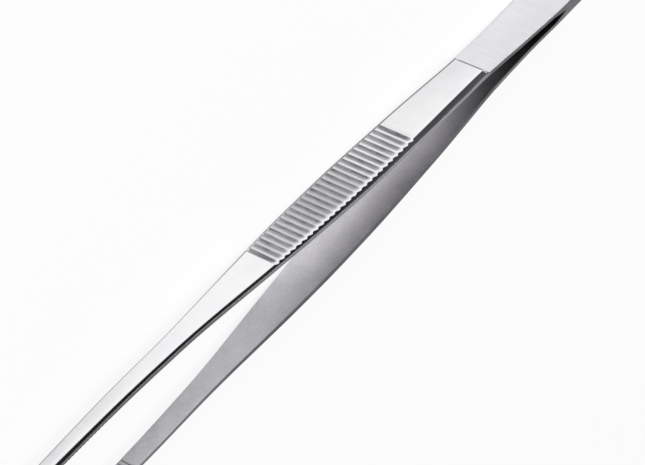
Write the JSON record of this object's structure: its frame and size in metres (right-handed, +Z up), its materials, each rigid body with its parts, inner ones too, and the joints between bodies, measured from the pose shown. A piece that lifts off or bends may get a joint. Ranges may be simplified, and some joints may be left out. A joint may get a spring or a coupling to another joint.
{
  "type": "print tongs",
  "caption": "Spring tongs for lifting printing paper out of a darkroom tray: bowed steel arms welded at the tail, with cross-ribbed grips, bevelled edges and narrow serrated jaws.",
  "frame": {"origin": "Under the middle of the tongs: the centre of their length and of their thickness, at the level of the lowest long edges.", "axes": "+X from the tail towards the jaws, +Y from the front arm to the rear arm, +Z up across the width of the blades, which lie on their long edges."},
  "size_m": [0.2, 0.0204, 0.0148],
  "materials": {
    "polished_steel": "polished outer faces, satin inner faces",
    "satin_steel": "fine brushing across the blade",
    "weld_steel": "ground flush, satin"
  },
  "bodies": {
    "tail": {"tail_weld": "weld_steel", "front_tail": "satin_steel", "rear_tail": "satin_steel", "front_spring_leaf": "satin_steel", "rear_spring_leaf": "satin_steel"},
    "front_arm": {"front_grip": "polished_steel", "front_jaw": "polished_steel"},
    "rear_arm": {"rear_grip": "polished_steel", "rear_jaw": "polished_steel"}
  },
  "joints": [
    {"name": "front_squeeze", "type": "hinge", "parent": "tail", "child": "front_arm", "pos_m": [-0.0739, -0.0015, 0.0074], "axis": [0, 0, 1], "range_deg": [0, 2.83], "stiffness_Nm_per_rad": 7, "deforming": ["front_spring_leaf"]},
    {"name": "rear_squeeze", "type": "hinge", "parent": "tail", "child": "rear_arm", "pos_m": [-0.0739, 0.0015, 0.0074], "axis": [0, 0, 1], "range_deg": [-2.83, 0], "stiffness_Nm_per_rad": 7, "deforming": ["rear_spring_leaf"]}
  ],
  "couplings": [
    {"joint": "rear_squeeze", "follows": "front_squeeze", "ratio": -1}
  ]
}
